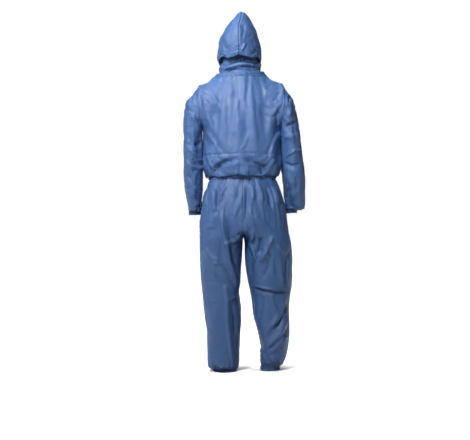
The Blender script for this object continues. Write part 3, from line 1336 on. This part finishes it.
def fuzz_paint(name, rgb, scale, height, rough=0.9):
    """Hook or loop fastener: a dense field of little hooks or loops."""
    p = Paint(name, rough, 0.2)
    p.sheen(0.3, 0.6, shade(rgb, 2.2))
    dots = p.node("ShaderNodeTexVoronoi", feature="F1")
    dots.inputs["Scale"].default_value = scale
    p.join(p.at, dots.inputs["Vector"])
    d = p.spread(dots.outputs["Distance"], 0.0, 0.6)
    p.colour(p.mix(d, shade(rgb, 1.5), shade(rgb, 0.5)))
    p.roughness(p.spread(d, 0, 1, rough - 0.12, rough))
    p.bump((d, 0.8, height))
    return p.mat


def plastic_paint(name, rgb):
    p = Paint(name, 0.42, 0.5)
    grain = p.noise(420, 3, 0.6)
    worn = p.spread(p.noise(90, 4, 0.6, 0.5), 0.45, 0.75)
    p.colour(p.mix(worn, shade(rgb, 0.9), shade(rgb, 1.35)))
    p.roughness(p.spread(worn, 0, 1, 0.36, 0.58))
    p.bump((grain, 0.25, 0.0001))
    return p.mat


def metal_paint(name, rgb):
    p = Paint(name, 0.3, 0.5, 1.0)
    scratches = p.noise(260, 4, 0.6, stretch=(6, 1, 0.4))
    worn = p.spread(p.noise(120, 4), 0.4, 0.7)
    p.colour(p.mix(worn, shade(rgb, 0.82), shade(rgb, 1.1)))
    p.roughness(p.spread(scratches, 0.3, 0.7, 0.22, 0.46))
    p.bump((scratches, 0.12, 0.0001))
    return p.mat


def thread_paint(name, rgb):
    p = Paint(name, 0.6, 0.3)
    twist = p.noise(1400, 2, 0.5, stretch=(1, 1, 2))
    p.colour(p.mix(p.spread(twist, 0.3, 0.7), shade(rgb, 0.8), shade(rgb, 1.2)))
    p.bump((twist, 0.4, 0.0001))
    return p.mat


BLUE = (0.049, 0.117, 0.292)
CLOTH = cloth_paint("suit_cloth_paint", BLUE)
HEMS = cloth_paint("casing_cloth_paint", shade(BLUE, 0.92), crease=0.5)
TAPE = tape_paint("zip_tape_paint", (0.060, 0.105, 0.235))
HANGER = tape_paint("hanger_tape_paint", (0.11, 0.19, 0.40), pitch=0.0009)
HOOKS = fuzz_paint("hook_tape_paint", (0.055, 0.095, 0.21), 900, 0.0006, 0.6)
LOOPS = fuzz_paint("loop_tape_paint", (0.065, 0.11, 0.24), 520, 0.0009)
TEETH = plastic_paint("zip_plastic_paint", (0.045, 0.08, 0.19))
NICKEL = metal_paint("zip_metal_paint", (0.62, 0.61, 0.58))
LABEL = cloth_paint("label_paint", (0.72, 0.74, 0.76), pitch=0.00035, sheen=0.1, crease=0.15, fade=0.04)
THREAD = thread_paint("thread_paint", shade(BLUE, 1.7))
PALE_THREAD = thread_paint("label_thread_paint", (0.55, 0.6, 0.68))


def finish_piece(obj, paint, body, nodes=(), bend=None):
    obj.data.materials.clear()
    obj.data.materials.append(paint)
    if bend:
        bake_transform(obj)
    else:
        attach(obj, body)
    if nodes:
        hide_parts(*nodes)
    return obj


# ---- trousers ---------------------------------------------------------------------------------------
trousers = make_trousers()
centres = face_centres(trousers)
seat_tree = surface(trousers)
for side, name in ((1, "left"), (-1, "right")):
    half = part_of(trousers, f"trousers_{name}", centres[:, 0] * side > 0)
    nodes = [f"{k}_{name}" for k in ("seat_front", "seat_back", "leg_front", "leg_back")]
    hip_bend = ("trousers", f"leg_{name}", (0, 0, 0.66), (side * 0.14, 0, 0.52))
    finish_piece(half, CLOTH, None, nodes, hip_bend)
drop(trousers)
seat_rows = [line(seat_tree, [(x, 0.935), (x, 0.70)], face) for x in (0.0045, -0.0045) for face in (1, -1)]
finish_piece(stitches("trousers_stitching", seat_rows), THREAD, "trousers")

waist = casing("waist_hem", (0, WAIST_Y, WAIST_Z), 0.1510, 0.1020, WAIST_H, 74, 0.0019, 5)
finish_piece(waist, HEMS, "trousers", ["waist_casing", "waist_elastic"])
for side, name in ((1, "left"), (-1, "right")):
    ankle_centre = (side * ANKLE_C[0], ANKLE_C[1], 0.0)
    band = casing(f"ankle_hem_{name}", ankle_centre, 0.0443, 0.0443, ANKLE_H, 24, 0.0015, 7 + side,
                  inner=0.0024)
    finish_piece(band, HEMS, f"leg_{name}", [f"ankle_{name}_casing", f"ankle_{name}_elastic"])

# ---- jacket -----------------------------------------------------------------------------------------
trunk = make_trunk()
trunk_tree = surface(trunk)
centres = face_centres(trunk)
behind, low = centres[:, 1] > SIDE_Y, centres[:, 2] < LOWER_SEAM_Z
for name, keep, node, flat, area in (
        ("back_panel", behind & ~low, "jacket_back", (0.52, 0.42), 0.19),
        ("lower_back_panel", behind & low, "jacket_lower_back", (0.52, 0.130), 0.063),
        ("front_panel_left", ~behind & (centres[:, 0] > 0), "jacket_front_left", (0.27, 0.50), 0.115),
        ("front_panel_right", ~behind & (centres[:, 0] < 0), "jacket_front_right", (0.27, 0.50), 0.115)):
    panel = part_of(trunk, name, keep)
    finish_piece(panel, CLOTH, "jacket", [node])
drop(trunk)
rows = [line(trunk_tree, [(-0.182, LOWER_SEAM_Z + 0.004), (0.182, LOWER_SEAM_Z + 0.004)], 1, n=200)]
rows += [line(trunk_tree, [(x, 0.962), (x, 1.434)], -1, n=200) for x in (0.0125, -0.0125, 0.0185, -0.0185)]
rows += [nearest_row(trunk_tree, armhole_row(side, 0.006)) for side in (1, -1)]
finish_piece(stitches("jacket_stitching", rows), THREAD, "jacket")

hem_gap = math.asin(0.0165 / 0.166)
hem = casing("jacket_hem", (0, -0.012, HEM_Z), 0.1640, 0.1200, HEM_H, 64, 0.0018, 6,
             arc=(-math.pi / 2 + hem_gap, 1.5 * math.pi - hem_gap))
finish_piece(hem, HEMS, "jacket", ["jacket_hem_casing", "jacket_hem_elastic"])

for side, name in ((1, "left"), (-1, "right")):
    sleeve = make_sleeve(side)
    sleeve.name = f"sleeve_cloth_{name}"
    tree = surface(sleeve)
    nodes = [f"sleeve_front_{name}", f"sleeve_back_{name}"]
    finish_piece(sleeve, CLOTH, f"sleeve_{name}", nodes)
    cuff_centre = (side * CUFF_C[0], CUFF_C[1], CUFF_C[2])
    cuff = casing(f"cuff_hem_{name}", cuff_centre, 0.0322, 0.0322, CUFF_H, 20, 0.0014, 9 + side, inner=0.0024)
    nodes = [f"cuff_casing_{name}", f"cuff_elastic_{name}"]
    finish_piece(cuff, HEMS, f"sleeve_{name}", nodes)
    row = nearest_row(tree, ring_points(cuff_centre, 0.036, 0.036, CUFF_C[2] + CUFF_H + 0.004))
    finish_piece(stitches(f"sleeve_stitching_{name}", [row]), THREAD, f"sleeve_{name}")

# ---- collar and hood ---------------------------------------------------------------------------------
collar = thickened(make_collar(trunk_tree), 0.0012)
finish_piece(collar, CLOTH, "jacket", ["collar"])
nape = thickened(make_nape(), 0.0010)
finish_piece(nape, CLOTH, None, (),
             ("jacket", "hood", (0, 0.1, rim_height(0.1, 0.016)), (0, 0.1, rim_height(0.1) + 0.020)))

hood = make_hood()
centres = face_centres(hood)
hood_tree = surface(hood)
for side, name in ((1, "left"), (-1, "right")):
    half = thickened(part_of(hood, f"hood_panel_{name}", centres[:, 0] * side > 0), 0.0011)
    finish_piece(half, CLOTH, "hood", [f"hood_{name}"])
drop(hood)
finish_piece(make_face_hem(), HEMS, "hood", ["hood_face_casing", "hood_face_elastic"])
rows = [nearest_row(hood_tree, [(x, 0.15 * math.cos(a) + 0.02, 1.60 + 0.17 * math.sin(a))
                                for a in np.linspace(-0.15, 2.0, 220)]) for x in (0.0062, -0.0062)]
edge = [(0.115 * math.cos(a), 0.13 * math.sin(a)) for a in np.linspace(-0.55, math.pi + 0.55, 260)]
rows.append(nearest_row(hood_tree, [(x, y, rim_height(y) + 0.0125 + 0.010 * math.exp(-(x / 0.03) ** 2))
                                    for x, y in edge]))
finish_piece(stitches("hood_stitching", rows), THREAD, "hood")

# ---- hanger loop and label ---------------------------------------------------------------------------
a = np.linspace(0.15, math.pi - 0.15, 70)
loop = []
for k, (dz, dy) in enumerate(((0.0, 0.0), (0.0027, 0.0004), (0.0053, 0.0004), (0.008, 0.0))):
    loop.append(np.stack([0.0265 * np.cos(a), 0.0815 - 0.0235 * np.sin(a) ** 0.8 + dy,
                          1.450 + dz + 0.0012 * np.sin(3 * a)], 1))
loop = np.array(loop)
loop[:, 0, 1] = loop[:, -1, 1] = 0.083
hanger = thickened(new_object("hanger_tape_loop", loop.reshape(-1, 3), grid_faces(4, 70, wrap=False)), 0.0011)
finish_piece(hanger, HANGER, "jacket", ["hanger_loop"])



def on_lining(x, z, inside):
    """A point behind the cloth of the jacket's back, and the direction that faces into the jacket."""
    p, n = on_cloth(trunk_tree, x, z, 1)
    return p - n * inside, -n


u, v = np.meshgrid(np.linspace(-1, 1, 48), np.linspace(-1, 1, 26))
tag = [on_lining(0.023 * x, 1.405 + 0.0115 * h, 0.0026 + 0.0012 * abs(x) ** 6 * (h < 0))[0]
       for x, h in zip(u.ravel(), v.ravel())]
label = thickened(new_object("neck_label", tag, grid_faces(26, 48, wrap=False)), 0.0006)
finish_piece(label, LABEL, "jacket", ["blank_label"])
corners = [(-0.0212, 0.0098), (0.0212, 0.0098), (0.0212, -0.0098), (-0.0212, -0.0098), (-0.0212, 0.0098)]
row = [on_lining(p[0] + (q[0] - p[0]) * t, 1.405 + p[1] + (q[1] - p[1]) * t, 0.0031)
       for p, q in zip(corners[:-1], corners[1:]) for t in np.linspace(0, 1, 40, endpoint=False)]
label_rows = stitches("label_stitching", [row], length=0.0018, gap=0.0012, wide=0.0004)
finish_piece(label_rows, PALE_THREAD, "jacket")

# ---- zip --------------------------------------------------------------------------------------------
for side, name in ((1, "left"), (-1, "right")):
    xs = [side * x * MM for x in (0.4, 1.4, 4.0, 7.5, 11.0, 14.0, 15.4)]
    finish_piece(strip(f"zip_ribbon_{name}", xs, 0.0036, 0.940, 1.4615, 0.0007), TAPE, "jacket",
                 [f"zip_tape_{name}"])
guard = strip("zip_guard_strip", np.linspace(-0.029, 0.017, 16), 0.0084, 0.9395, 1.455, 0.0012, wavy=0.0010)
finish_piece(guard, CLOTH, "jacket", ["zip_guard"])
for node, paint in (("zip_teeth_left", TEETH), ("zip_teeth_right", TEETH), ("zip_box", TEETH),
                    ("zip_stop_left", NICKEL), ("zip_stop_right", NICKEL), ("zip_slider", NICKEL),
                    ("zip_pull", NICKEL)):
    for s in frame["nodes"][node].material_slots:
        s.material = paint

# ---- chest pocket -----------------------------------------------------------------------------------
pocket = patch("pocket_panel", trunk_tree, 0.042, 0.138, 1.128, 1.248, 0.0026, 0.0010, corner=0.012,
               bulge=0.0022, seed=71)
finish_piece(pocket, CLOTH, "jacket", ["chest_pocket"])
loops = patch("loop_strip", trunk_tree, 0.056, 0.124, 1.212, 1.230, 0.0050, 0.0009, nx=40, nz=14, seed=72)
finish_piece(loops, LOOPS, "jacket", ["pocket_loop_tape"])
hooks = patch("hook_strip", trunk_tree, 0.056, 0.124, 1.212, 1.230, 0.0062, 0.0009, nx=40, nz=14, seed=73)
finish_piece(hooks, HOOKS, "pocket_flap", ["pocket_hook_tape"])
flap = patch("pocket_flap_panel", trunk_tree, 0.039, 0.141, 1.204, 1.258, 0.0078, 0.0013, nz=40, corner=0.010,
             bulge=0.0006, seed=74)
flap_tree = surface(flap)
pocket_tree = surface(pocket)
finish_piece(flap, CLOTH, "pocket_flap", ["pocket_flap"])
rows = [line(pocket_tree, [(x0, 1.204), (x0, 1.142), (x0 + 0.009 * s, 1.1312), (0.090, 1.1312)], -1, n=60)
        for x0, s in ((0.0452, 1), (0.1348, -1))]
finish_piece(stitches("pocket_stitching", rows), THREAD, "jacket")
rows = [line(flap_tree, [(x0, 1.254), (x0, 1.217), (x0 + 0.008 * s, 1.2075), (0.090, 1.2075)], -1, n=60)
        for x0, s in ((0.0422, 1), (0.1378, -1))]
rows.append(line(flap_tree, [(0.042, 1.2545), (0.138, 1.2545)], -1))
finish_piece(stitches("flap_stitching", rows), THREAD, "pocket_flap")

# ---- floor, light and camera -------------------------------------------------------------------------
floor = new_object("floor", [(-30, -30, -0.0005), (30, -30, -0.0005), (30, 30, -0.0005), (-30, 30, -0.0005)],
                   [(0, 1, 2, 3)], smooth=False)
pale = Paint("floor_paint", 0.9, 0.1)
pale.colour(pale.mix(pale.spread(pale.noise(0.6, 3), 0.3, 0.7), (0.90, 0.90, 0.905), (0.93, 0.93, 0.93)))
floor.data.materials.append(pale.mat)

world = bpy.data.worlds.new("studio")
bpy.context.scene.world = world
world.use_nodes = True
wt = world.node_tree
shown, lighting = wt.nodes["Background"], wt.nodes.new("ShaderNodeBackground")
shown.inputs["Color"].default_value = (1, 1, 1, 1)
shown.inputs["Strength"].default_value = 1.0
lighting.inputs["Color"].default_value = (0.93, 0.96, 1, 1)
lighting.inputs["Strength"].default_value = 0.085
ray, both = wt.nodes.new("ShaderNodeLightPath"), wt.nodes.new("ShaderNodeMixShader")
wt.links.new(ray.outputs["Is Camera Ray"], both.inputs["Fac"])
wt.links.new(lighting.outputs[0], both.inputs[1])
wt.links.new(shown.outputs[0], both.inputs[2])
wt.links.new(both.outputs[0], wt.nodes["World Output"].inputs["Surface"])


def softbox(name, place, aim, size, power, tint=(1, 1, 1), spread=180):
    light = bpy.data.lights.new(name, "AREA")
    light.spread = math.radians(spread)
    light.shape = "DISK"
    light.size = size
    light.energy = power
    light.color = tint
    obj = bpy.data.objects.new(name, light)
    bpy.context.scene.collection.objects.link(obj)
    obj.location = place
    obj.rotation_euler = (Vector(aim) - Vector(place)).to_track_quat("-Z", "Y").to_euler()


softbox("key", (1.0, 2.2, 2.9), (0.02, 0, 1.45), 0.8, 30, (1, 0.985, 0.96), 95)
softbox("back_glow", (0.25, 2.6, 1.9), (-0.01, 0, 1.36), 0.5, 0.75, (1, 0.985, 0.96), 30)
softbox("side", (2.6, 0.6, 2.4), (0, 0, 1.2), 1.0, 20, (0.95, 0.97, 1))
softbox("top", (0.3, 0.2, 3.6), (0, 0, 1.3), 1.2, 22)
softbox("front_fill", (-0.4, -3.8, 2.4), (0, 0, 0.95), 2.2, 88)

lamp = bpy.data.lights.new("floor_lamp", "SUN")
lamp.energy = 3.9
lamp.angle = math.radians(20)
floor_lamp = bpy.data.objects.new("floor_lamp", lamp)
bpy.context.scene.collection.objects.link(floor_lamp)
lit = bpy.data.collections.new("lit_floor")
lit.objects.link(floor)
floor_lamp.light_linking.receiver_collection = lit
floor.visible_diffuse = False

camera = bpy.data.objects.new("camera", bpy.data.cameras.new("camera"))
bpy.context.scene.collection.objects.link(camera)
camera.data.lens = 70
camera.data.sensor_width = 36
camera.data.clip_end = 60
camera.location = (0.0405, 4.50, 0.737)
camera.rotation_euler = (Matrix.Rotation(math.pi, 4, "Z") @ Matrix.Rotation(math.pi / 2, 4, "X")
                         @ Matrix.Rotation(math.radians(-1.1), 4, "Z")).to_euler()
bpy.context.scene.camera = camera
bpy.context.scene.view_settings.view_transform = "Standard"
